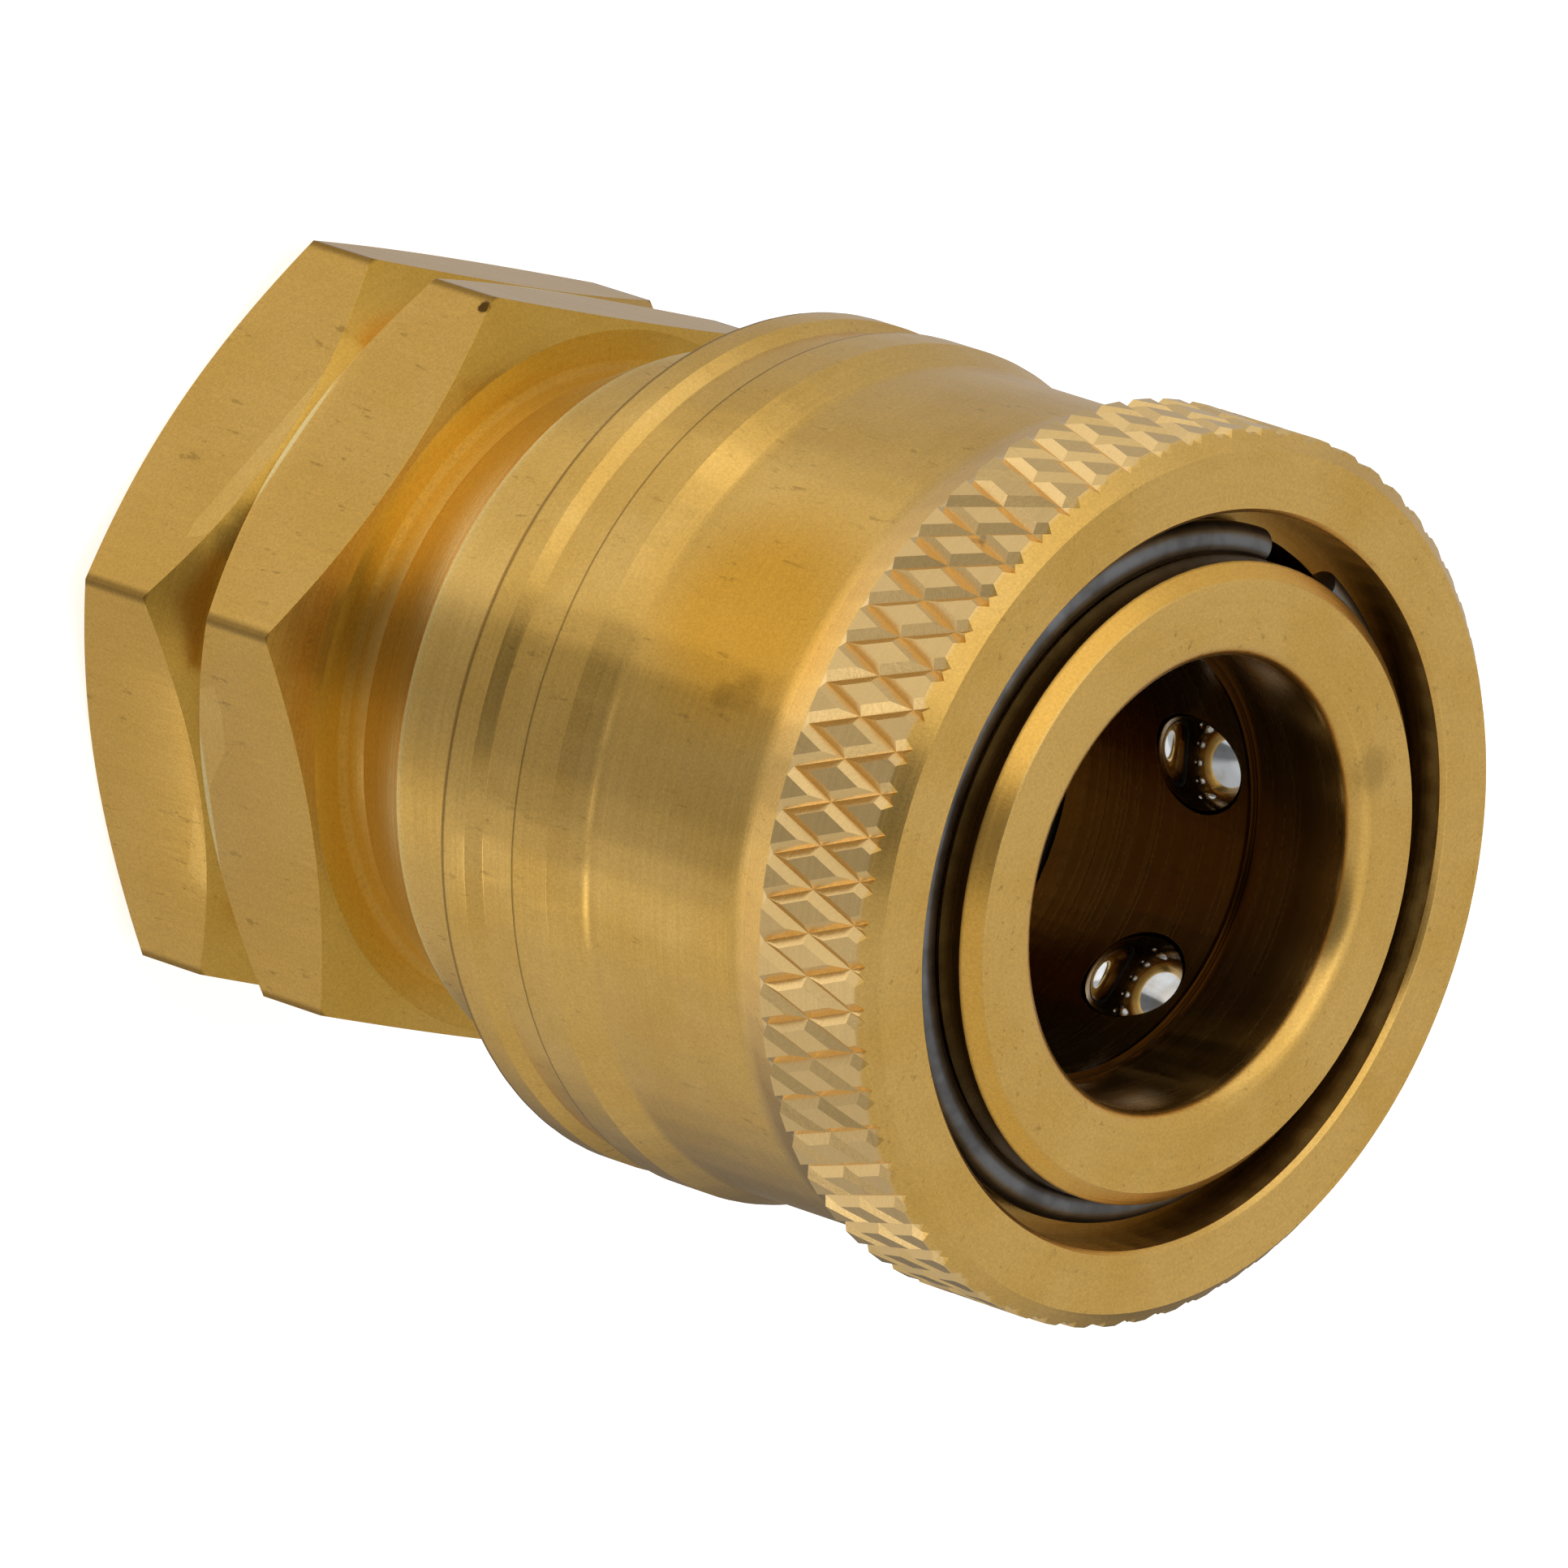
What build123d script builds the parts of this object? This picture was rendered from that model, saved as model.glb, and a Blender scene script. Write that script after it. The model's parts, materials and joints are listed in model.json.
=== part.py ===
"""Quick disconnect coupler for a pressure line: the brass socket half, straight through, with no valve.

A coupler body turned from hexagon bar has a tapped port at its foot and a socket at its mouth.
A knurled sleeve slides on the body against a spring, and a wire ring in a groove near the mouth stops it.
Steel balls sit in pockets round the socket and stand proud inside it, where they lock a plug.
Drawing the sleeve back towards the hexagon lets the balls move outwards and frees the plug.

Frame: +Z runs along the axis, from the port to the socket's mouth.
The origin is the centre of the hexagon's rear face, which the coupler stands on. Millimetres.
"""

import math
import os

from build123d import *

# Coupler body, outside
body_length = 35.2
hex_across_flats = 22.2
hex_length = 9.4
hex_chamfer_angle = 26.0
hex_face_inset = 0.2          # how far the chamfers cut inside the flats at each end
mark_depth = 0.15             # the turned V between the two halves of the hexagon, below the flats
mark_half_angle = 36.0
neck_wall = 1.3               # round the port
neck_length = 0.9
collar_length = 4.6           # guides the sleeve's skirt and carries the spring
nose_chamfer = 0.5

# Coupler body, inside
socket_radius = 6.7
socket_depth = 21.7
socket_lip = 0.7
mouth_bore_step = 0.2         # the socket is this much wider between its lip and the balls
mouth_bore_depth = 4.1
throat_radius = 4.9
port_radius = 8.45            # root of the 3/8 in taper thread at the mouth of the port
port_depth = 11.0
port_chamfer = 0.5

# Socket seal
seal_section = 1.9
seal_below_mouth = 12.6
seal_proud = 0.22             # how far the seal stands into the socket
seal_gap = 0.03
seal_side_gap = 0.2

# Lock balls, 5/32 in
ball_count = 6
ball_radius = 1.984
ball_proud = 0.86             # how far a ball stands into the socket
ball_over_stem = 0.028        # how far it stands out of the stem
ball_gap = 0.08
ball_below_mouth = 6.2
ball_first_angle = 25.0       # from the corner of the hexagon on +X
ball_rise_per_travel = 0.16

# Retaining ring
ring_wire = 1.15
ring_depth = 0.26             # how deep it sits in the stem
ring_below_mouth = 1.95       # centre of the wire, below the nose's end face
ring_gap_angle = 19.0
ring_gap_centre = 73.5
ring_groove_gap = 0.05
ring_stop_gap = 0.05

# Spring
spring_wire = 0.9
spring_turns = 2.7
spring_side_gap = 0.26
spring_end_gap = 0.05
spring_spare = 0.17           # left over between its coils when the sleeve is drawn back

# Sleeve, inside
sleeve_length = 18.2
sleeve_travel = 5.2
nose_proud = 0.5              # how far the nose stands out of the sleeve
running_gap = 0.09
skirt_bore_gap = 0.1
land_behind_balls = 2.7
mouth_gap = 0.53              # between the retaining ring and the sleeve's mouth
mouth_chamfer = 0.15

# Sleeve, outside: radii count from the waist, lengths from the sleeve's rear edge
skirt_wall = 1.55
rim_rise = 0.4
rim_width = 1.3
rim_chamfer = 0.35
groove_rise = 0.1
groove_slope = 0.45
groove_end = 3.25
band_rise = 0.45
band_end = 4.7
waist_start = 5.9
flare_rise = 0.67
flare_length = 1.7
knurl_rise = 0.9
knurl_width = 4.4             # from the sleeve's front face
face_chamfer = 0.55

# Radii that follow from the socket outwards
ball_circle = socket_radius - ball_proud + ball_radius
stem_radius = ball_circle + ball_radius - ball_over_stem
land_radius = stem_radius + running_gap
skirt_bore = stem_radius + spring_wire + 2 * spring_side_gap
collar_radius = skirt_bore - skirt_bore_gap
neck_radius = port_radius + neck_wall
ring_circle = stem_radius - ring_depth + ring_wire / 2
sleeve_mouth_radius = ring_circle + ring_wire / 2 + mouth_gap
mouth_bore_radius = socket_radius + mouth_bore_step
waist_radius = skirt_bore + skirt_wall
knurl_radius = waist_radius + knurl_rise

# Heights that follow from the mouth downwards
sleeve_front = body_length - nose_proud
sleeve_rear = sleeve_front - sleeve_length
ring_height = body_length - ring_below_mouth
land_front = ring_height - ring_wire / 2 - ring_stop_gap
ball_height = body_length - ball_below_mouth
land_rear = ball_height - land_behind_balls
seal_height = body_length - seal_below_mouth
collar_top = land_rear - sleeve_travel - (spring_turns + 1) * spring_wire - spring_spare
collar_start = collar_top - collar_length
socket_floor = body_length - socket_depth


def turned(outline, rounds=()):
    """A solid turned about Z from a closed outline of (radius, height) points.

    rounds gives (point, radius) for each corner of the outline that is rounded.
    """
    face = make_face(Polyline(*outline, close=True))
    for point, radius in rounds:
        corner = face.vertices().sort_by_distance((*point, 0))[0]
        face = fillet(corner, radius)
    return revolve(Plane.XZ * face, Axis.Z)


def bore(radius, low, high):
    """A cylinder on the Z axis to cut away, between two heights."""
    return Pos(0, 0, low) * Cylinder(radius, high - low, align=(Align.CENTER, Align.CENTER, Align.MIN))


def on_ball_circle(shape, number):
    """A shape modelled at +X, turned to the place of one of the balls."""
    return Rot(0, 0, ball_first_angle + number * 360 / ball_count) * shape


def hexagon():
    """The hexagon, chamfered at both ends and marked with a turned V at mid length."""
    corner_radius = hex_across_flats / 2 / math.cos(math.radians(30))
    face_radius = hex_across_flats / 2 - hex_face_inset
    outside = corner_radius + 1
    drop = (outside - face_radius) * math.tan(math.radians(hex_chamfer_angle))
    mark_radius = hex_across_flats / 2 - mark_depth
    mark_half = (outside - mark_radius) * math.tan(math.radians(mark_half_angle))
    middle = hex_length / 2
    blank = turned([
        (0, 0), (face_radius, 0), (outside, drop),
        (outside, middle - mark_half), (mark_radius, middle), (outside, middle + mark_half),
        (outside, hex_length - drop), (face_radius, hex_length), (0, hex_length),
    ])
    bar = extrude(RegularPolygon(corner_radius, 6), hex_length)
    return bar & blank


def coupler_body():
    stem = turned([
        (0, hex_length), (neck_radius, hex_length), (neck_radius, hex_length + neck_length),
        (collar_radius, collar_start), (collar_radius, collar_top), (stem_radius, collar_top),
        (stem_radius, body_length - nose_chamfer), (stem_radius - nose_chamfer, body_length),
        (0, body_length),
    ])
    body = hexagon() + stem

    # Port, throat and socket; the socket's lip is rounded
    body -= bore(port_radius, 0, port_depth)
    body -= Cone(port_radius + port_chamfer, port_radius, port_chamfer,
                 align=(Align.CENTER, Align.CENTER, Align.MIN))
    body -= bore(throat_radius, port_depth, socket_floor)
    body -= bore(socket_radius, socket_floor, body_length)
    body -= bore(mouth_bore_radius, body_length - mouth_bore_depth, body_length)
    lip = mouth_bore_radius + socket_lip
    lip_start = body_length - socket_lip
    body -= turned([(0, lip_start), (lip, lip_start), (lip, body_length), (0, body_length)])
    body += turned([
        (mouth_bore_radius, lip_start - socket_lip), (lip, lip_start - socket_lip),
        (lip, body_length), (mouth_bore_radius, body_length),
    ], [((mouth_bore_radius, body_length), socket_lip * 0.98)])

    # Groove for the seal
    groove_bottom = socket_radius - seal_proud + seal_section + seal_gap
    groove_half = seal_section / 2 + seal_side_gap
    body -= bore(groove_bottom, seal_height - groove_half, seal_height + groove_half)

    # Groove for the retaining ring
    ring_half = ring_wire / 2 + ring_groove_gap
    ring_bottom = ring_circle - ring_wire / 2 - ring_groove_gap
    body -= turned([
        (ring_bottom, ring_height - ring_half), (stem_radius + 1, ring_height - ring_half),
        (stem_radius + 1, ring_height + ring_half), (ring_bottom, ring_height + ring_half),
    ])

    # Ball pockets, drilled from outside with a round-ended cutter that just breaks into the socket
    pocket = ball_radius + ball_gap
    cutter = Pos(ball_circle, 0, ball_height) * Sphere(pocket)
    cutter += Pos(ball_circle, 0, ball_height) * Rot(0, 90, 0) * Cylinder(
        pocket, stem_radius, align=(Align.CENTER, Align.CENTER, Align.MIN))
    for number in range(ball_count):
        body -= on_ball_circle(cutter, number)
    return body


def sleeve():
    cone_start = ball_height - ball_radius * math.sin(math.atan(ball_rise_per_travel))
    cone_radius = land_radius + ball_rise_per_travel * (land_front - cone_start)
    rim_radius = waist_radius + rim_rise
    rim_end = sleeve_rear + rim_width
    groove_radius = waist_radius + groove_rise
    band_radius = waist_radius + band_rise
    knurl_rear = sleeve_front - knurl_width
    flare_start = (waist_radius, knurl_rear - flare_length)
    waist_corner = (waist_radius, sleeve_rear + waist_start)
    return turned([
        (skirt_bore, sleeve_rear), (rim_radius - rim_chamfer, sleeve_rear),
        (rim_radius, sleeve_rear + rim_chamfer), (rim_radius, rim_end),
        (groove_radius, rim_end + groove_slope), (groove_radius, sleeve_rear + groove_end),
        (band_radius, sleeve_rear + groove_end), (band_radius, sleeve_rear + band_end),
        waist_corner, flare_start, (waist_radius + flare_rise, knurl_rear), (knurl_radius, knurl_rear),
        (knurl_radius, sleeve_front - face_chamfer), (knurl_radius - face_chamfer, sleeve_front),
        (sleeve_mouth_radius + mouth_chamfer, sleeve_front),
        (sleeve_mouth_radius, sleeve_front - mouth_chamfer), (sleeve_mouth_radius, land_front),
        (cone_radius, land_front), (land_radius, cone_start),
        (land_radius, land_rear), (skirt_bore, land_rear),
    ], [(flare_start, 2.5), (waist_corner, 1.0)])


def lock_ball(number):
    return on_ball_circle(Pos(ball_circle, 0, ball_height) * Sphere(ball_radius), number)


def retaining_ring():
    wire = Pos(ring_circle, 0, ring_height) * Rot(90, 0, 0) * Circle(ring_wire / 2)
    ring = revolve(wire, Axis.Z, 360 - ring_gap_angle)
    return Rot(0, 0, ring_gap_centre + ring_gap_angle / 2) * ring


def socket_seal():
    circle = socket_radius - seal_proud + seal_section / 2
    return Pos(0, 0, seal_height) * Torus(circle, seal_section / 2)


def sleeve_spring():
    circle = (stem_radius + skirt_bore) / 2
    height = land_rear - collar_top - spring_wire - 2 * spring_end_gap
    path = Pos(0, 0, collar_top + spring_wire / 2 + spring_end_gap) * Helix(
        height / spring_turns, height, circle)
    start = Plane(path @ 0, z_dir=path % 0)
    return sweep(start * Circle(spring_wire / 2), path=path)


pieces = {
    "coupler_body": coupler_body(),
    "sleeve": sleeve(),
    "sleeve_spring": sleeve_spring(),
    "retaining_ring": retaining_ring(),
    "socket_seal": socket_seal(),
}
for number in range(ball_count):
    pieces[f"lock_ball_{number + 1}"] = lock_ball(number)

os.makedirs("parts", exist_ok=True)
for name, piece in pieces.items():
    export_step(piece, f"parts/{name}.step")
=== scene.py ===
"""Looks of the quick disconnect coupler: brass body and sleeve, steel balls, wire ring, spring and seal."""

import json
import math

import bmesh
import bpy
from mathutils import Matrix, Vector


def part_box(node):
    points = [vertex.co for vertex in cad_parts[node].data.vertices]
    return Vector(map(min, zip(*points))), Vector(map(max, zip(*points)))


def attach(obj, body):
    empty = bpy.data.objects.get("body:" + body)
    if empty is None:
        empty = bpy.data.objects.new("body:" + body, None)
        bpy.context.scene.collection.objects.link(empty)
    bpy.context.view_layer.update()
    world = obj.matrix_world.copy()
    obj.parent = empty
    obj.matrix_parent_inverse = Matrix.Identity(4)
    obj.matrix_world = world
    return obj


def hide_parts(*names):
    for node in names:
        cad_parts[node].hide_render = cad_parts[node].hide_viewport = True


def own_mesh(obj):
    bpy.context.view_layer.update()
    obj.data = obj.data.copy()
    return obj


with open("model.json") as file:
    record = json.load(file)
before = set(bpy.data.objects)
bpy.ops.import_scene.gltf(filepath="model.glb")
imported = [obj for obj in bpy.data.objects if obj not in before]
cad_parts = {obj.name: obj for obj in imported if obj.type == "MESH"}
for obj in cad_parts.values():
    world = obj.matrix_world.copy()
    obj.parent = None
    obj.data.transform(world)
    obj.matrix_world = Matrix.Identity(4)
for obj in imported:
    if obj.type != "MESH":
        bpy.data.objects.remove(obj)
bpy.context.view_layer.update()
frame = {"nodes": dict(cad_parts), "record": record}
MM = 0.001


# Stage: a white paper sweep under a soft studio surround, seen with a long lens from above.
# The surround is a ring of large panels with a dark gap behind the camera, brighter overhead and underfoot.
# A few small lamps put glints on the edges.
LENS_MM = 621.1
VIEW_RIGHT = Vector((0.64989, 0.23354, 0.72326))
VIEW_UP = Vector((-0.08503, 0.96799, -0.23616))
VIEW_BACK = Vector((-0.75526, 0.09198, 0.64894))
MOUTH_OFFSET = (11.86 * MM, -2.93 * MM)     # where the sleeve's mouth lies from the middle of the view
VIEW_DISTANCE = 796.5 * MM
FLOOR_HEIGHT = -0.05 * MM                   # clear of the foot's own face
FRONT_AZIMUTH = 173.06
PANEL_LEVEL = 0.53
# panels round the room below and above the horizon: place as a share of a full turn, brightness
LOW_PANELS = (
    (0.0, 0.95), (0.14, 0.85), (0.235, 0.92), (0.27, 1.0), (0.285, 1.32), (0.36, 1.20), (0.445, 1.36),
    (0.48, 0.62), (0.56, 0.54), (0.59, 0.64), (0.635, 1.05), (0.70, 1.0), (0.80, 0.90), (0.87, 0.52),
    (0.94, 0.26), (1.0, 0.45),
)
HIGH_PANELS = (
    (0.0, 1.0), (0.20, 1.1), (0.28, 1.7), (0.42, 1.8), (0.455, 1.3), (0.475, 0.28), (0.545, 0.32),
    (0.60, 0.95), (1.0, 1.0),
)
# overhead and underfoot: height where the change starts, height where it is full, gain
ENDS = ((0.75, 0.95, 1.3), (-0.80, -0.95, 1.7))
# small lamps: bearing, height and half width in degrees, strength
GLINTS = (
    (224.0, -23.0, 8.0, 1.8), (200.0, -21.0, 7.0, 0.8), (178.0, -20.0, 6.0, 0.5), (112.0, -8.0, 8.0, 0.9),
)


def linear(code):
    """A linear colour from an sRGB hex code."""
    parts = [int(code[i:i + 2], 16) / 255 for i in (0, 2, 4)]
    return tuple(p / 12.92 if p <= 0.04045 else ((p + 0.055) / 1.055) ** 2.4 for p in parts) + (1.0,)


def add_node(tree, kind, settings, inputs, output=0):
    """Adds a shader node with its settings and inputs, and returns one of its outputs.

    An input is a value, a hex colour or another node's output to link.
    """
    made = tree.nodes.new("ShaderNode" + kind)
    for name, value in settings.items():
        setattr(made, name, value)
    for name, value in inputs.items():
        if isinstance(value, bpy.types.NodeSocket):
            tree.links.new(value, made.inputs[name])
        else:
            made.inputs[name].default_value = linear(value) if isinstance(value, str) else value
    return made.outputs[output] if made.outputs else None


def new_material(name):
    """A material with an empty node tree."""
    material = bpy.data.materials.new(name)
    material.use_nodes = True
    material.node_tree.nodes.clear()
    return material, material.node_tree


def link_object(name, data):
    """An object at the origin, in the scene."""
    made = bpy.data.objects.new(name, data)
    bpy.context.scene.collection.objects.link(made)
    return made


camera = link_object("camera", bpy.data.cameras.new("camera"))
camera.data.sensor_width = 36.0
camera.data.lens = LENS_MM
camera.data.clip_start = 0.05
camera.data.clip_end = 10.0
mouth_centre = Vector((0, 0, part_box("sleeve")[1].z))
turn = Matrix((VIEW_RIGHT, VIEW_UP, VIEW_BACK)).transposed().to_4x4()
aside = VIEW_RIGHT * MOUTH_OFFSET[0] + VIEW_UP * MOUTH_OFFSET[1]
camera.matrix_world = Matrix.Translation(mouth_centre - aside + VIEW_BACK * VIEW_DISTANCE) @ turn
bpy.context.scene.camera = camera
bpy.context.scene.view_settings.view_transform = "Standard"

sweep = bmesh.new()
bmesh.ops.create_circle(sweep, cap_ends=True, segments=96, radius=3.0,
                        matrix=Matrix.Translation((0, 0, FLOOR_HEIGHT)))
floor = link_object("floor", bpy.data.meshes.new("floor"))
sweep.to_mesh(floor.data)
sweep.free()
paper, tree = new_material("white paper")
surface = add_node(tree, "BsdfPrincipled", {}, {"Base Color": "F4F4F2", "Roughness": 0.9,
                                                "Emission Color": "FFFFFF", "Emission Strength": 0.72})
add_node(tree, "OutputMaterial", {}, {"Surface": surface})
floor.data.materials.append(paper)
floor.visible_glossy = False

COLOURS = {"data_type": "RGBA"}
SOFT = {"interpolation_type": "SMOOTHSTEP"}
TIMES = {"operation": "MULTIPLY"}
world = bpy.data.worlds.new("studio")
world.use_nodes = True
bpy.context.scene.world = world
tree = world.node_tree
tree.nodes.clear()
around = add_node(tree, "TexCoord", {}, {}, "Generated")
faced = add_node(tree, "VectorRotate", {"rotation_type": "Z_AXIS"},
                 {"Vector": around, "Angle": -math.radians(FRONT_AZIMUTH)})
across, along, up = add_node(tree, "SeparateXYZ", {}, {0: faced}).node.outputs
bearing = add_node(tree, "Math", {"operation": "ARCTAN2"}, {0: along, 1: across})
turn_share = add_node(tree, "MapRange", {}, {"Value": bearing, "From Min": -math.pi, "From Max": math.pi})
rings = []
for stops in (LOW_PANELS, HIGH_PANELS):
    made = add_node(tree, "ValToRGB", {}, {"Fac": turn_share}).node
    made.color_ramp.interpolation = "EASE"
    points = made.color_ramp.elements
    while len(points) < len(stops):
        points.new(0.5)
    for point, (place, value) in zip(points, stops):
        point.position = place
        point.color = (value, value, value, 1.0)
    rings.append(made.outputs["Color"])
above = add_node(tree, "MapRange", SOFT, {"Value": up, "From Min": -0.25, "From Max": 0.25})
panels = add_node(tree, "Mix", COLOURS, {0: above, 6: rings[0], 7: rings[1]}, 2)
for start, full, gain in ENDS:
    reach = add_node(tree, "MapRange", SOFT, {"Value": up, "From Min": start, "From Max": full,
                                              "To Min": 1.0, "To Max": gain})
    panels = add_node(tree, "Mix", {**COLOURS, "blend_type": "MULTIPLY"}, {0: 1.0, 6: panels, 7: reach}, 2)
for bearing_deg, height_deg, half_deg, gain in GLINTS:
    aim = (math.cos(math.radians(height_deg)) * math.cos(math.radians(bearing_deg)),
           math.cos(math.radians(height_deg)) * math.sin(math.radians(bearing_deg)),
           math.sin(math.radians(height_deg)))
    nearness = add_node(tree, "VectorMath", {"operation": "DOT_PRODUCT"}, {0: around, 1: aim}, "Value")
    lamp = add_node(tree, "MapRange", SOFT, {"Value": nearness, "To Max": gain,
                                             "From Min": math.cos(math.radians(half_deg * 1.25)),
                                             "From Max": math.cos(math.radians(half_deg * 0.75))})
    panels = add_node(tree, "Mix", {**COLOURS, "blend_type": "ADD"}, {0: 1.0, 6: panels, 7: lamp}, 2)
light = add_node(tree, "Background", {}, {"Color": panels, "Strength": PANEL_LEVEL})
add_node(tree, "OutputWorld", {}, {"Surface": light})


# Coupler body: one piece turned from drawn hexagon brass bar, tapped at the foot and bored at the mouth.
# The flats keep the die's long lines, the rest shows the lathe's; every edge is broken by a light deburring.
BRASS_LIGHT = "FACB72"        # clean turned brass, in two tones
BRASS_WARM = "F2C164"
BRASS_TARNISH = "F2AF30"      # orange bloom on the waist
BRASS_BAR = "E0AE54"          # the bar's own drawn skin
BRASS_KNURL = "FFDDA0"        # rolled and rubbed
BRASS_NECK_PAINTED_LIGHT = "FFDE8A"        # painted light: the neck made paler against the recess's shade
# painted light: paler still, for the cone
BRASS_CONE_PAINTED_LIGHT = "FFF0B4"
BRASS_PAINTED_HIGHLIGHT = "FFE49E"       # painted highlight on edges
# painted highlight: a brighter, golder nose chamfer
BRASS_CHAMFER_HIGHLIGHT = "FFBE46"
BRASS_SHELF_SHADE = "C8982C"        # painted shade on the hex's upward shelf under the neck
BRASS_PAINTED_SHADE = "7C5C28"        # painted shade in bores and on the stem inside the sleeve
STAIN_AND_SHADE = "5A3C14"              # old oil and dirt; also painted shade at steps, edges and corners
edge_break = 0.05 * MM
sharp_edge = 24               # edges that turn by more than this many degrees are broken and shaded sharp
same_face = 0.4               # triangles within this many degrees of each other are one face
# heights and radii below are in mm
body_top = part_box("coupler_body")[1].z / MM
hex_top = 9.4
hex_corner = (12.66, 12.78)   # radii between which the painted shade line along the hex's corners fades in
recess_top = 12.9
recess_radius = 11.6
socket_shade_radius = 7.6
band_fade = 0.04
# bands round the axis of painted highlight, painted light and painted shade: heights, radii, colour and
# strength
BODY_BANDS = (
    (4.75, 5.0, 10.9, 11.9, BRASS_PAINTED_HIGHLIGHT, 0.9),      # painted highlight on the V mark, just above its root
    (9.42, 9.6, 9.5, 9.95, BRASS_PAINTED_HIGHLIGHT, 1.0),       # painted highlight at the neck's foot
    (12.9, 13.1, 10.9, 11.3, BRASS_PAINTED_HIGHLIGHT, 0.4),     # painted highlight on the edge between the cone and the collar
    (30.0, 34.75, 9.7, 10.0, BRASS_PAINTED_SHADE, 0.75),     # painted shade on the stem inside the sleeve's mouth
    (10.4, 12.8, 9.7, 11.4, BRASS_CONE_PAINTED_LIGHT, 0.6),        # painted light: the cone made paler against its shade
    (30.95, 31.2, 6.6, 7.0, STAIN_AND_SHADE, 0.95),            # painted shade on the step in the socket's bore
    (34.72, 35.16, 9.3, 9.9, BRASS_CHAMFER_HIGHLIGHT, 0.5),       # painted highlight on the nose's chamfer
)
# pits and stains: place, reach, share of the reach that is solid, strength
BODY_MARKS = (((-6.61, 10.75, 8.4), 0.22, 1.25, 0.95), ((6.5, 4.1, 35.2), 0.9, 0.8, 0.3))


def smooth_by_angle(piece, degrees, weighted=False):
    """Smooth shading up to an angle; weighted keeps broad faces flat beside small rounded edges."""
    piece.data.shade_smooth()
    piece.data.set_sharp_from_angle(angle=math.radians(degrees))
    if weighted:
        finish = piece.modifiers.new("weighted normals", "WEIGHTED_NORMAL")
        finish.mode = "FACE_AREA"
        finish.weight = 80
        finish.keep_sharp = True


def merged_copy(node, name, weld):
    """A copy of a CAD node with its triangles joined, ready for a bevel."""
    shape = bmesh.new()
    shape.from_mesh(frame["nodes"][node].data)
    bmesh.ops.remove_doubles(shape, verts=shape.verts, dist=weld)
    bmesh.ops.dissolve_limit(shape, angle_limit=math.radians(same_face), verts=shape.verts,
                             edges=shape.edges)
    mesh = bpy.data.meshes.new(name)
    shape.to_mesh(mesh)
    shape.free()
    return link_object(name, mesh)


def place_in_mm(tree):
    """Where a point is on the coupler, in mm."""
    here = add_node(tree, "TexCoord", {}, {}, "Object")
    return add_node(tree, "VectorMath", {"operation": "SCALE"}, {0: here, "Scale": 1000.0})


def round_the_axis(tree, place, drift):
    """A point's radius and height, and a place that changes with both but only slowly round the axis."""
    x, y, z = add_node(tree, "SeparateXYZ", {}, {0: place}).node.outputs
    level = add_node(tree, "VectorMath", TIMES, {0: place, 1: (1, 1, 0)})
    radius = add_node(tree, "VectorMath", {"operation": "LENGTH"}, {0: level}, "Value")
    slow = add_node(tree, "Math", TIMES, {0: x, 1: drift})
    return radius, z, add_node(tree, "CombineXYZ", {}, {0: radius, 1: z, 2: slow})


def band_between(tree, value, low, high):
    """1 where a value lies between low and high, with both edges faded."""
    rise = add_node(tree, "MapRange", SOFT, {"Value": value, "From Min": low - band_fade,
                                             "From Max": low + band_fade})
    fall = add_node(tree, "MapRange", SOFT, {"Value": value, "From Min": high + band_fade,
                                             "From Max": high - band_fade})
    return add_node(tree, "Math", TIMES, {0: rise, 1: fall})


def lay_over(tree, colour, film, *shares):
    """Lays a film of one colour over another, as strong as all the shares multiplied."""
    strength = shares[0]
    for share in shares[1:]:
        strength = add_node(tree, "Math", TIMES, {0: strength, 1: share})
    return add_node(tree, "Mix", COLOURS, {0: strength, 6: colour, 7: film}, 2)


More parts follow.
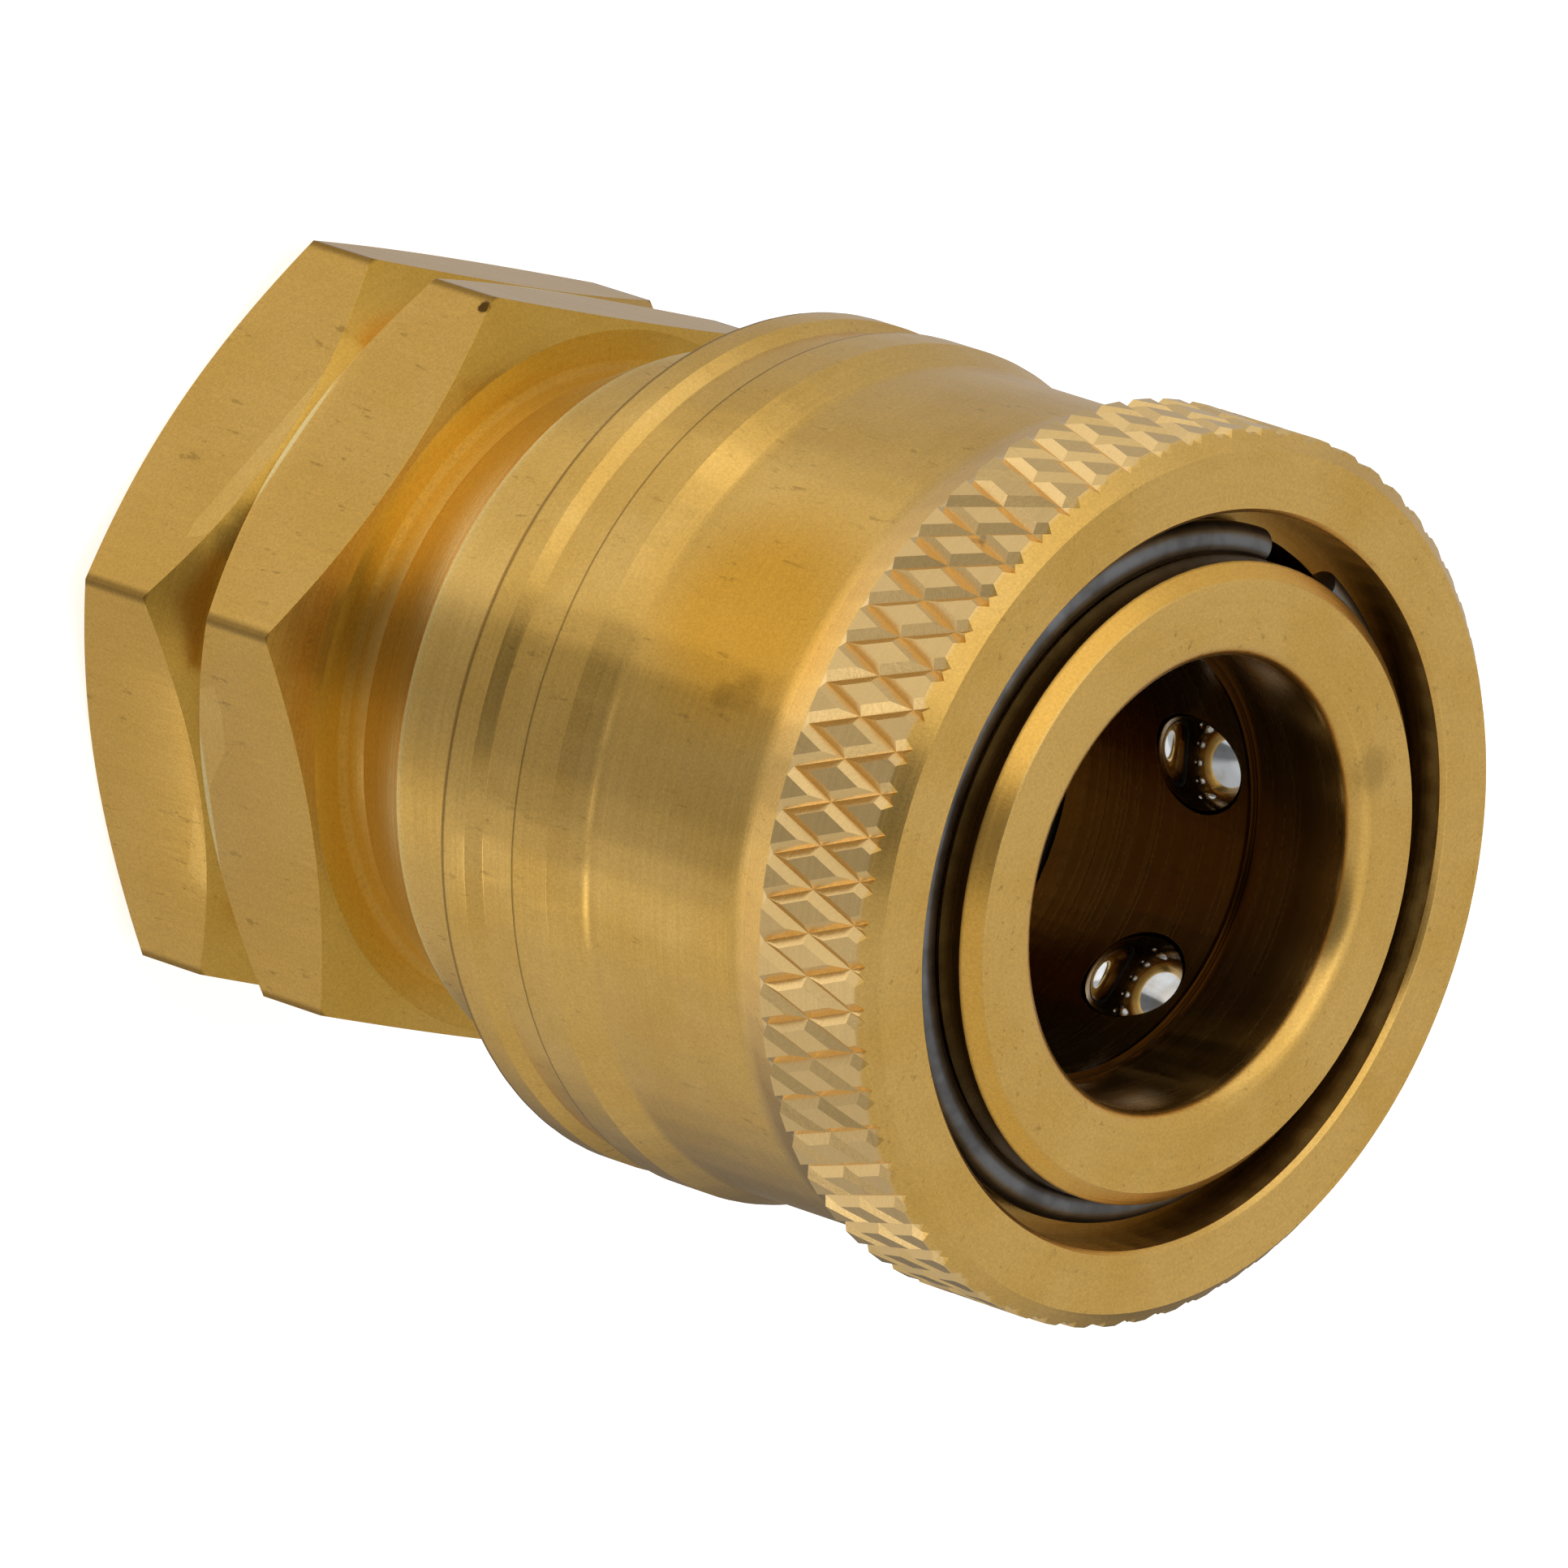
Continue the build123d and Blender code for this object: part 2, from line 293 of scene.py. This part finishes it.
def machined_brass(name, flats_below=None, tarnish=None, dark_inside=None, recess=None, marks=(),
                   rolled_beyond=None, bands=()):
    """Satin machined brass: lathe lines round the axis, fine grain, dark streaks, drawn lines on the flats.

    All sizes are in mm. Upright faces under the height flats_below are drawn bar. tarnish is a patch's place
    and reach, dark_inside the radius and top of a bore painted darker as shade, and recess the foot, top and
    radius of the neck, painted paler as light, with painted shade on the hex's shelf and corners below it.
    bands are rings of painted highlight, painted light and painted shade. A knurl rolled beyond the radius
    rolled_beyond is burnished.
    """
    material, tree = new_material(name)
    place = place_in_mm(tree)
    radius, z, lathe_place = round_the_axis(tree, place, 0.03)
    normal = add_node(tree, "TexCoord", {}, {}, "Normal")
    facing = add_node(tree, "SeparateXYZ", {}, {0: normal}, "Z")
    # Patterns repeat about as often per mm as their scale says. Lathe lines and grain are twice as coarse as
    # the real ones, to show from arm's length.
    lines = add_node(tree, "TexNoise", {}, {"Vector": lathe_place, "Scale": 7.0, "Detail": 3.0,
                                            "Roughness": 0.65})
    grain = add_node(tree, "TexNoise", {}, {"Vector": place, "Scale": 11.0, "Detail": 3.0, "Roughness": 0.75})
    cloud = add_node(tree, "TexNoise", {}, {"Vector": place, "Scale": 0.22, "Detail": 3.0, "Roughness": 0.6})
    warm = add_node(tree, "MapRange", SOFT, {"Value": cloud, "From Min": 0.35, "From Max": 0.65})
    colour = lay_over(tree, BRASS_LIGHT, BRASS_WARM, warm)

    if tarnish is not None:
        centre, reach = tarnish
        offset = add_node(tree, "VectorMath", {"operation": "DISTANCE"}, {0: place, 1: centre}, "Value")
        uneven = add_node(tree, "Math", TIMES, {0: cloud, 1: 3.0})
        ragged = add_node(tree, "Math", {"operation": "ADD"}, {0: offset, 1: uneven})
        patch = add_node(tree, "MapRange", SOFT, {"Value": ragged, "From Min": reach + 3.2,
                                                  "From Max": reach})
        colour = lay_over(tree, colour, BRASS_TARNISH, patch, 0.75)

    streak_strength = 0.28
    if flats_below is not None:
        drawn_place = add_node(tree, "VectorMath", TIMES, {0: place, 1: (1, 1, 0.05)})
        drawn = add_node(tree, "TexNoise", {}, {"Vector": drawn_place, "Scale": 5.0, "Detail": 4.0,
                                                "Roughness": 0.7})
        slope = add_node(tree, "Math", {"operation": "ABSOLUTE"}, {0: facing})
        upright_face = add_node(tree, "Math", {"operation": "LESS_THAN"}, {0: slope, 1: 0.12})
        below = add_node(tree, "Math", {"operation": "LESS_THAN"}, {0: z, 1: flats_below})
        on_flat = add_node(tree, "Math", TIMES, {0: upright_face, 1: below})
        lines = add_node(tree, "Mix", {"data_type": "FLOAT"}, {0: on_flat, 2: lines, 3: drawn})
        colour = lay_over(tree, colour, BRASS_BAR, on_flat, 0.55)
        streak_strength = 0.34

    streak_place = add_node(tree, "VectorMath", TIMES, {0: place, 1: (1, 1, 0.3)})
    streaks = add_node(tree, "TexNoise", {}, {"Vector": streak_place, "Scale": 3.2, "Detail": 4.0,
                                              "Roughness": 0.7})
    handled = add_node(tree, "TexNoise", {}, {"Vector": place, "Scale": 0.35, "Detail": 2.0,
                                              "Roughness": 0.5})
    where = add_node(tree, "MapRange", SOFT, {"Value": handled, "From Min": 0.44, "From Max": 0.58})
    dark = add_node(tree, "MapRange", SOFT, {"Value": streaks, "From Min": 0.60, "From Max": 0.68})
    colour = lay_over(tree, colour, STAIN_AND_SHADE, dark, where, streak_strength)

    for centre, reach, solid, strength in marks:
        offset = add_node(tree, "VectorMath", {"operation": "DISTANCE"}, {0: place, 1: centre}, "Value")
        uneven = add_node(tree, "Math", TIMES, {0: streaks, 1: reach})
        ragged = add_node(tree, "Math", {"operation": "ADD"}, {0: offset, 1: uneven})
        pit = add_node(tree, "MapRange", SOFT, {"Value": ragged, "From Min": reach * 1.7,
                                                "From Max": reach * solid})
        colour = lay_over(tree, colour, STAIN_AND_SHADE, pit, strength)

    # painted shade, deepening down the bore
    if dark_inside is not None:
        bore_radius, bore_top = dark_inside
        inside = add_node(tree, "Math", {"operation": "LESS_THAN"}, {0: radius, 1: bore_radius})
        deep = add_node(tree, "MapRange", SOFT, {"Value": z, "From Min": bore_top,
                                                 "From Max": bore_top - 1.6})
        colour = lay_over(tree, colour, BRASS_PAINTED_SHADE, inside, deep, 0.65)

    # painted shade on the hex's upward shelf and along its corners, painted light on the neck and cone
    if recess is not None:
        foot, top, within = recess
        upward = add_node(tree, "MapRange", SOFT, {"Value": facing, "From Min": 0.2, "From Max": 0.5})
        below = add_node(tree, "MapRange", SOFT, {"Value": z, "From Min": foot + 0.1, "From Max": foot})
        colour = lay_over(tree, colour, BRASS_SHELF_SHADE, upward, below, 0.6)
        corner = add_node(tree, "MapRange", SOFT, {"Value": radius, "From Min": hex_corner[0],
                                                   "From Max": hex_corner[1]})
        below = add_node(tree, "MapRange", SOFT, {"Value": z, "From Min": foot, "From Max": foot - 0.5})
        colour = lay_over(tree, colour, STAIN_AND_SHADE, corner, below, 0.6)
        over = add_node(tree, "MapRange", SOFT, {"Value": z, "From Min": foot + 0.05, "From Max": foot + 0.2})
        under = add_node(tree, "MapRange", SOFT, {"Value": z, "From Min": top + 0.6, "From Max": top - 0.6})
        inside = add_node(tree, "Math", {"operation": "LESS_THAN"}, {0: radius, 1: within})
        colour = lay_over(tree, colour, BRASS_NECK_PAINTED_LIGHT, over, under, inside)

    # bands of painted highlight, painted light and painted shade
    for low, high, inner, outer, film, strength in bands:
        colour = lay_over(tree, colour, film, band_between(tree, z, low, high),
                          band_between(tree, radius, inner, outer), strength)
    shade = add_node(tree, "MapRange", {}, {"Value": grain, "From Min": 0.25, "From Max": 0.75,
                                            "To Min": 0.80, "To Max": 1.12})
    colour = add_node(tree, "Mix", {**COLOURS, "blend_type": "MULTIPLY"}, {0: 1.0, 6: colour, 7: shade}, 2)
    if rolled_beyond is not None:
        rolled = add_node(tree, "MapRange", SOFT, {"Value": radius, "From Min": rolled_beyond,
                                                   "From Max": rolled_beyond + 0.05})
        behind = add_node(tree, "MapRange", SOFT, {"Value": z, "From Min": body_top - 0.95,
                                                   "From Max": body_top - 1.1})
        colour = lay_over(tree, colour, BRASS_KNURL, rolled, behind, 0.6)
    shade = add_node(tree, "MapRange", {}, {"Value": lines, "To Min": 0.93, "To Max": 1.06})
    colour = add_node(tree, "Mix", {**COLOURS, "blend_type": "MULTIPLY"}, {0: 1.0, 6: colour, 7: shade}, 2)

    rough = add_node(tree, "MapRange", {}, {"Value": lines, "To Min": 0.17, "To Max": 0.34})
    line_height = add_node(tree, "Math", TIMES, {0: lines, 1: 0.8})
    grain_height = add_node(tree, "Math", TIMES, {0: grain, 1: 0.25})
    heights = add_node(tree, "Math", {"operation": "ADD"}, {0: line_height, 1: grain_height})
    bump = add_node(tree, "Bump", {}, {"Height": heights, "Strength": 0.4, "Distance": 0.014 * MM})
    lathe_way = add_node(tree, "Tangent", {"direction_type": "RADIAL", "axis": "Z"}, {})
    surface = add_node(tree, "BsdfPrincipled", {},
                       {"Base Color": colour, "Metallic": 1.0, "Roughness": rough, "Normal": bump,
                        "Tangent": lathe_way, "Anisotropic": 0.5, "Anisotropic Rotation": 0.25})
    add_node(tree, "OutputMaterial", {}, {"Surface": surface})
    return material


body = merged_copy("coupler_body", "body_shell", 0.002 * MM)
body.data.materials.clear()
# painted shade down the socket's bore; the bands hold painted highlights, painted light and painted shade
body.data.materials.append(machined_brass("machined brass, drawn flats", flats_below=hex_top,
                                          dark_inside=(socket_shade_radius, body_top - 0.4),
                                          recess=(hex_top, recess_top, recess_radius),
                                          marks=BODY_MARKS, bands=BODY_BANDS))
smooth_by_angle(body, sharp_edge)
deburr = body.modifiers.new("deburr", "BEVEL")
deburr.width = edge_break
deburr.segments = 2
deburr.limit_method = "ANGLE"
deburr.angle_limit = math.radians(sharp_edge)
deburr.use_clamp_overlap = True
deburr.harden_normals = True
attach(body, "body")
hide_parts("coupler_body")


# Port thread: 3/8 in taper pipe thread, 18 to the inch, cut with a tap.
# It stands inward from the port's wall, closes in by 1 in 16 and fades out near the port's floor.
port = next(mount for mount in frame["record"]["mounts"] if mount["name"] == "port_thread")
thread_pitch = 25.4 / 18 * MM
thread_depth = 1.0 * MM
thread_bite = 0.02 * MM       # how far the ridge's foot sits inside the wall
thread_root = port["dims"]["r_mm"] * MM
thread_length = port["dims"]["length_mm"] * MM
thread_turns = int(thread_length / thread_pitch) - 0.5
thread_start = 0.82 * thread_pitch
thread_run_in = 0.6 * thread_pitch
thread_run_out = 2.2 * thread_pitch
crest_half = 0.08 * thread_pitch
root_half = 0.46 * thread_pitch
thread_steps = 72             # to a turn
port_shade_radius = 9.0       # in mm


def helix_spin(shape, geometry, turns, pitch, steps):
    """Spins geometry round Z while it climbs by the pitch each turn, and returns its last ring."""
    made = bmesh.ops.spin(shape, geom=geometry, cent=(0, 0, 0), axis=(0, 0, 1), angle=math.tau * turns,
                          dvec=(0, 0, pitch * turns / steps), steps=steps, use_duplicate=False)
    return made["geom_last"]


ridge = bmesh.new()
outline = [(thread_root + thread_bite, -root_half), (thread_root - thread_depth, -crest_half),
           (thread_root - thread_depth, crest_half), (thread_root + thread_bite, root_half)]
corners = [ridge.verts.new((radius, 0, height + thread_start)) for radius, height in outline]
section = ridge.faces.new(corners)
helix_spin(ridge, [section] + list(section.edges) + list(section.verts), thread_turns, thread_pitch,
           int(thread_turns * thread_steps))
bmesh.ops.remove_doubles(ridge, verts=ridge.verts, dist=0.001 * MM)
thread_top = max(vertex.co.z for vertex in ridge.verts)
for vertex in ridge.verts:
    flat = vertex.co.xy.length
    rise = thread_root - flat
    fade = min(1.0, (vertex.co.z - thread_start - crest_half) / thread_run_in,
               (thread_top - root_half - vertex.co.z) / thread_run_out)
    taper = vertex.co.z / 32 if rise > 0 else 0
    vertex.co.xy *= (thread_root - rise * max(fade, 0.0) - taper) / flat
bmesh.ops.recalc_face_normals(ridge, faces=ridge.faces)
thread = link_object("port_thread", bpy.data.meshes.new("port_thread"))
ridge.to_mesh(thread.data)
ridge.free()
smooth_by_angle(thread, 30)
# painted shade down the port
thread.data.materials.append(machined_brass("tapped brass", dark_inside=(port_shade_radius, body_top)))
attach(thread, "body")


# Socket seal: a moulded nitrile O-ring in its groove, black and faintly oily.
# It stands a little into the socket, where a plug's nose presses it.
def moulded_rubber():
    """Nitrile rubber from a mould: a soft, wide highlight, patches of oil and a very fine grain."""
    material, tree = new_material("moulded nitrile rubber")
    place = place_in_mm(tree)
    grain = add_node(tree, "TexNoise", {}, {"Vector": place, "Scale": 14.0, "Detail": 3.0, "Roughness": 0.6})
    oil = add_node(tree, "TexNoise", {}, {"Vector": place, "Scale": 0.8, "Detail": 2.0, "Roughness": 0.5})
    colour = lay_over(tree, "121110", "1E1C1A", grain)
    rough = add_node(tree, "MapRange", {}, {"Value": oil, "To Min": 0.35, "To Max": 0.65})
    bump = add_node(tree, "Bump", {}, {"Height": grain, "Strength": 0.3, "Distance": 0.01 * MM})
    surface = add_node(tree, "BsdfPrincipled", {}, {"Base Color": colour, "Roughness": rough, "Normal": bump,
                                                    "IOR": 1.52})
    add_node(tree, "OutputMaterial", {}, {"Surface": surface})
    return material


seal = frame["nodes"]["socket_seal"]
seal.data.materials.clear()
seal.data.materials.append(moulded_rubber())


# Lock balls: ground and polished stainless steel, loose in their pockets round the socket.
# They mirror the room, through a thin oil film and fine scratches from the plugs.
def polished_steel():
    """Polished stainless steel: a mirror, duller and warmer where the oil film lies."""
    material, tree = new_material("polished stainless steel")
    place = place_in_mm(tree)
    scratch_place = add_node(tree, "VectorMath", TIMES, {0: place, 1: (1, 1, 0.12)})
    scratches = add_node(tree, "TexNoise", {}, {"Vector": scratch_place, "Scale": 9.0, "Detail": 4.0,
                                                "Roughness": 0.7})
    film = add_node(tree, "TexNoise", {}, {"Vector": place, "Scale": 1.1, "Detail": 3.0, "Roughness": 0.6})
    oily = add_node(tree, "MapRange", SOFT, {"Value": film, "From Min": 0.4, "From Max": 0.7})
    colour = lay_over(tree, "DCDEE0", "C4BFB6", oily)
    rough = add_node(tree, "MapRange", {}, {"Value": film, "To Min": 0.03, "To Max": 0.12})
    bump = add_node(tree, "Bump", {}, {"Height": scratches, "Strength": 0.12, "Distance": 0.002 * MM})
    surface = add_node(tree, "BsdfPrincipled", {}, {"Base Color": colour, "Metallic": 1.0, "Roughness": rough,
                                                    "Normal": bump})
    add_node(tree, "OutputMaterial", {}, {"Surface": surface})
    return material


ball_finish = polished_steel()
for name, node in frame["nodes"].items():
    if name.startswith("lock_ball"):
        node.data.materials.clear()
        node.data.materials.append(ball_finish)


# Sleeve spring: hard-drawn steel wire, wound with half a closed turn at each end.
# It sits on the body's collar and pushes the sleeve's land forwards; drawing the sleeve back flattens it.
spring_low, spring_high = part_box("sleeve_spring")
spring_wire = 0.9 * MM
spring_circle = spring_high.x - spring_wire / 2
closed_pitch = spring_wire * 1.04
closed_turns = 0.5
open_turns = 1.7
coil_steps = 64               # to a turn


def drawn_wire(name, light, dark):
    """Steel wire drawn through a die: grey, clouded, with fine lines along the wire."""
    material, tree = new_material(name)
    place = place_in_mm(tree)
    along_wire = round_the_axis(tree, place, 0.06)[2]
    lines = add_node(tree, "TexNoise", {}, {"Vector": along_wire, "Scale": 11.0, "Detail": 3.0,
                                            "Roughness": 0.6})
    cloud = add_node(tree, "TexNoise", {}, {"Vector": place, "Scale": 0.6, "Detail": 3.0, "Roughness": 0.6})
    dull = add_node(tree, "MapRange", SOFT, {"Value": cloud, "From Min": 0.35, "From Max": 0.65})
    colour = lay_over(tree, light, dark, dull)
    rough = add_node(tree, "MapRange", {}, {"Value": lines, "To Min": 0.28, "To Max": 0.5})
    bump = add_node(tree, "Bump", {}, {"Height": lines, "Strength": 0.3, "Distance": 0.008 * MM})
    surface = add_node(tree, "BsdfPrincipled", {}, {"Base Color": colour, "Metallic": 1.0, "Roughness": rough,
                                                    "Normal": bump})
    add_node(tree, "OutputMaterial", {}, {"Surface": surface})
    return material


coil = bmesh.new()
upright = Matrix.Rotation(math.radians(90), 4, "X")
base = Matrix.Translation((spring_circle, 0, spring_low.z + spring_wire / 2))
bmesh.ops.create_circle(coil, cap_ends=True, segments=16, radius=spring_wire / 2, matrix=base @ upright)
room = spring_high.z - spring_low.z - spring_wire
open_pitch = (room - closed_pitch) / open_turns
wire_end = list(coil.faces) + list(coil.edges) + list(coil.verts)
for turns, pitch in ((closed_turns, closed_pitch), (open_turns, open_pitch), (closed_turns, closed_pitch)):
    wire_end = helix_spin(coil, wire_end, turns, pitch, int(turns * coil_steps))
bmesh.ops.remove_doubles(coil, verts=coil.verts, dist=0.001 * MM)
bmesh.ops.recalc_face_normals(coil, faces=coil.faces)
spring = link_object("spring_coil", bpy.data.meshes.new("spring_coil"))
coil.to_mesh(spring.data)
coil.free()
smooth_by_angle(spring, 40)
spring.data.materials.append(drawn_wire("hard-drawn spring steel", "8E8F92", "6C6B6B"))
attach(spring, "body")
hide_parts("sleeve_spring")
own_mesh(spring)


# Sleeve: turned from brass bar, with a rolled diamond knurl at the front and a rim, groove and band behind.
# The knurl is rolled as two crossing sets of grooves at 21 degrees, and the front chamfer cuts its teeth.
sleeve_low, sleeve_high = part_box("sleeve")
# heights and radii below are in mm
sleeve_rear = sleeve_low.z / MM
sleeve_front = sleeve_high.z / MM
knurl_crest = sleeve_high.x / MM
knurl_teeth = 64
knurl_lead = 3.5              # length in which one groove crosses a tooth's width to each side
knurl_depth = 0.22
knurl_flat = 0.19             # half width left flat on a tooth, as a share of the tooth
knurl_rear = sleeve_front - 4.4
face_radius = knurl_crest - 0.55
flare_radius = 13.42
flare_start = knurl_rear - 1.7
waist_radius = 12.75
waist_rear = sleeve_rear + 5.9
band_radius = 13.2
band_front = sleeve_rear + 4.7
band_rear = sleeve_rear + 3.25
groove_radius = 12.85
groove_rear = sleeve_rear + 1.75
rim_radius = 13.15
rim_front = sleeve_rear + 1.3
rim_chamfer = 0.35
skirt_bore = 11.2
land_rear = 26.3
land_radius = 9.87
cone_start = 28.69
land_front = 32.6
cone_radius = 10.497          # where the land's cone meets the mouth's bore
mouth_radius = 11.2
mouth_chamfer = 0.15
patch_angle = math.radians(157)
patch_place = (waist_radius * math.cos(patch_angle), waist_radius * math.sin(patch_angle), 25.9)
patch_reach = 3.2
knurl_foot_radius = 13.3      # everything further out is knurl
# painted shade at the rear edge and in the corner behind the band
SLEEVE_BANDS = (
    (sleeve_rear - 0.1, sleeve_rear + 0.45, 12.0, 13.3, STAIN_AND_SHADE, 0.6),
    (sleeve_rear + 3.20, sleeve_rear + 3.34, 12.95, 13.3, STAIN_AND_SHADE, 0.6),
)
# a smudge on the waist, in two parts, a pit in the knurl and a fleck behind the waist
SLEEVE_MARKS = (
    ((-12.42, 2.87, 27.0), 0.7, 0.8, 0.3), ((-12.5, 2.6, 26.2), 0.5, 0.8, 0.3),
    ((-10.2, 9.0, 32.4), 0.22, 1.25, 0.9), ((-12.5, -3.5, 20.9), 0.08, 1.25, 0.8),
)


def rounded(points):
    """Profile points (r, z) or (r, z, corner radius), with each rounded corner as an arc of short runs."""
    made = []
    for i, point in enumerate(points):
        here = Vector(point[:2])
        if len(point) == 2:
            made.append(tuple(here))
            continue
        before = (Vector(points[i - 1][:2]) - here).normalized()
        after = (Vector(points[i + 1][:2]) - here).normalized()
        half = before.angle(after) / 2
        reach = point[2] / math.tan(half)
        centre = here + (before + after).normalized() * point[2] / math.sin(half)
        first = here + before * reach - centre
        last = here + after * reach - centre
        sweep_angle = first.angle_signed(last)
        steps = max(3, int(abs(math.degrees(sweep_angle)) / 9))
        for k in range(steps + 1):
            arm = first.copy()
            arm.rotate(Matrix.Rotation(-sweep_angle * k / steps, 2))
            made.append(tuple(centre + arm))
    return made


def extrude_along(shape, loop, profile):
    """Draws a row of edges on through the profile's points; in the sheet y is height and z is radius."""
    for radius, height in profile:
        made = bmesh.ops.extrude_edge_only(shape, edges=loop)["geom"]
        for item in made:
            if isinstance(item, bmesh.types.BMVert):
                item.co.y = height
                item.co.z = radius
        loop = [item for item in made if isinstance(item, bmesh.types.BMEdge)
                and all(abs(v.co.y - height) < 1e-6 and abs(v.co.z - radius) < 1e-6 for v in item.verts)]


def trim(shape, point, normal, clear=True):
    """Cuts the sheet along a plane and clears what lies beyond it."""
    bmesh.ops.bisect_plane(shape, geom=list(shape.verts) + list(shape.edges) + list(shape.faces),
                           plane_co=point, plane_no=normal, clear_outer=clear, dist=1e-6)


# The knurl is made as a flat sheet: x runs round the sleeve in teeth, y is height and z is radius, in mm.
sheet = bmesh.new()
cells = 84                    # a square of diamonds, large enough to trim the knurl's strip from
bmesh.ops.create_grid(sheet, x_segments=cells, y_segments=cells, size=cells / 2)
bmesh.ops.inset_individual(sheet, faces=list(sheet.faces), thickness=0.5 - knurl_flat, depth=knurl_depth)
lay = Matrix(((0.5, 0.5, 0, knurl_teeth / 2), (knurl_lead / 2, -knurl_lead / 2, 0, knurl_rear + knurl_lead),
              (0, 0, 1, knurl_crest - knurl_depth), (0, 0, 0, 1)))
bmesh.ops.transform(sheet, matrix=lay, verts=sheet.verts)
trim(sheet, (0, 0, 0), (-1, 0, 0))
trim(sheet, (knurl_teeth, 0, 0), (1, 0, 0))
trim(sheet, (0, knurl_rear, 0), (0, -1, 0))
trim(sheet, (0, 0, flare_radius), (0, 0, 1), clear=False)
trim(sheet, (0, sleeve_front, face_radius), (0, 1, 1))
bmesh.ops.remove_doubles(sheet, verts=sheet.verts, dist=1e-5)
rims = [edge for edge in sheet.edges if edge.is_boundary]
rear_loop = [e for e in rims if all(abs(v.co.y - knurl_rear) < 1e-4 for v in e.verts)]
seam_edges = [e for e in rims if all(v.co.x < 1e-4 for v in e.verts)
              or all(v.co.x > knurl_teeth - 1e-4 for v in e.verts)]
front_loop = [e for e in rims if e not in rear_loop and e not in seam_edges]

# From the knurl the sheet is drawn on both ways, round the front into the mouth and round the rear into the
# skirt. A third number in a corner is the radius it is rounded to.
extrude_along(sheet, front_loop, rounded([
    (face_radius, sleeve_front), (mouth_radius + mouth_chamfer, sleeve_front, 0.05),
    (mouth_radius, sleeve_front - mouth_chamfer, 0.05), (mouth_radius, land_front),
]))
extrude_along(sheet, rear_loop, rounded([
    (flare_radius, knurl_rear), (flare_radius - 0.01, knurl_rear - 0.05),
    (waist_radius, flare_start, 2.5), (waist_radius, waist_rear, 1.0),
    (band_radius, band_front, 0.06), (band_radius, band_rear, 0.04),
    (groove_radius, band_rear, 0.04), (groove_radius, groove_rear, 0.12),
    (rim_radius, rim_front, 0.05), (rim_radius, sleeve_rear + rim_chamfer, 0.06),
    (rim_radius - rim_chamfer, sleeve_rear, 0.1), (skirt_bore, sleeve_rear, 0.08), (skirt_bore, land_rear),
    (land_radius, land_rear, 0.08), (land_radius, cone_start), (cone_radius, land_front),
]))
for vertex in sheet.verts:
    angle = math.tau * vertex.co.x / knurl_teeth
    height, radius = vertex.co.y, vertex.co.z
    vertex.co = Vector((radius * math.cos(angle), radius * math.sin(angle), height)) * MM
bmesh.ops.remove_doubles(sheet, verts=sheet.verts, dist=0.0005 * MM)
open_ends = [edge for edge in sheet.edges if edge.is_boundary]
bmesh.ops.bridge_loops(sheet, edges=open_ends)
bmesh.ops.recalc_face_normals(sheet, faces=sheet.faces)
sleeve = link_object("sleeve_shell", bpy.data.meshes.new("sleeve_shell"))
sheet.to_mesh(sleeve.data)
sheet.free()
smooth_by_angle(sleeve, 14, weighted=True)
# painted shade inside the sleeve's mouth and skirt
sleeve.data.materials.append(machined_brass("turned and knurled brass", tarnish=(patch_place, patch_reach),
                                            marks=SLEEVE_MARKS, bands=SLEEVE_BANDS,
                                            rolled_beyond=knurl_foot_radius,
                                            dark_inside=(skirt_bore + 0.1, sleeve_front - 0.1)))
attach(sleeve, "sleeve")
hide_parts("sleeve")


# Retaining ring: an open ring of dull grey steel wire, cropped square and sprung into the stem's groove.
# It stops the sleeve from leaving the nose; the gap between its ends lets it be sprung open.
ring_low, ring_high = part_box("retaining_ring")
ring_wire = ring_high.z - ring_low.z
ring_circle = (ring_high.x - ring_low.x) / 2 - ring_wire / 2
ring_gap = math.radians(19.0)
ring_gap_centre = math.radians(73.5)
ring_segments = 220
crop_break = 0.05 * MM        # the cropped ends' edges are blunt by this much
loop = bmesh.new()
seat = Matrix.Translation((ring_circle, 0, (ring_low.z + ring_high.z) / 2)) @ upright
bmesh.ops.create_circle(loop, cap_ends=True, segments=32, radius=ring_wire / 2, matrix=seat)
start = Matrix.Rotation(ring_gap_centre + ring_gap / 2, 4, "Z")
bmesh.ops.transform(loop, matrix=start, verts=loop.verts)
bmesh.ops.spin(loop, geom=list(loop.faces) + list(loop.edges) + list(loop.verts), cent=(0, 0, 0),
               axis=(0, 0, 1), angle=math.tau - ring_gap, steps=ring_segments, use_duplicate=False)
bmesh.ops.remove_doubles(loop, verts=loop.verts, dist=0.001 * MM)
bmesh.ops.recalc_face_normals(loop, faces=loop.faces)
cropped = [edge for edge in loop.edges if len(edge.link_faces) == 2 and edge.calc_face_angle() > 1.0]
bmesh.ops.bevel(loop, geom=cropped, affect="EDGES", offset=crop_break, segments=2, profile=0.5, material=-1)
ring = link_object("wire_ring", bpy.data.meshes.new("wire_ring"))
loop.to_mesh(ring.data)
loop.free()
smooth_by_angle(ring, 35)
ring.data.materials.append(drawn_wire("dull drawn steel wire", "858586", "686766"))
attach(ring, "body")
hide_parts("retaining_ring")
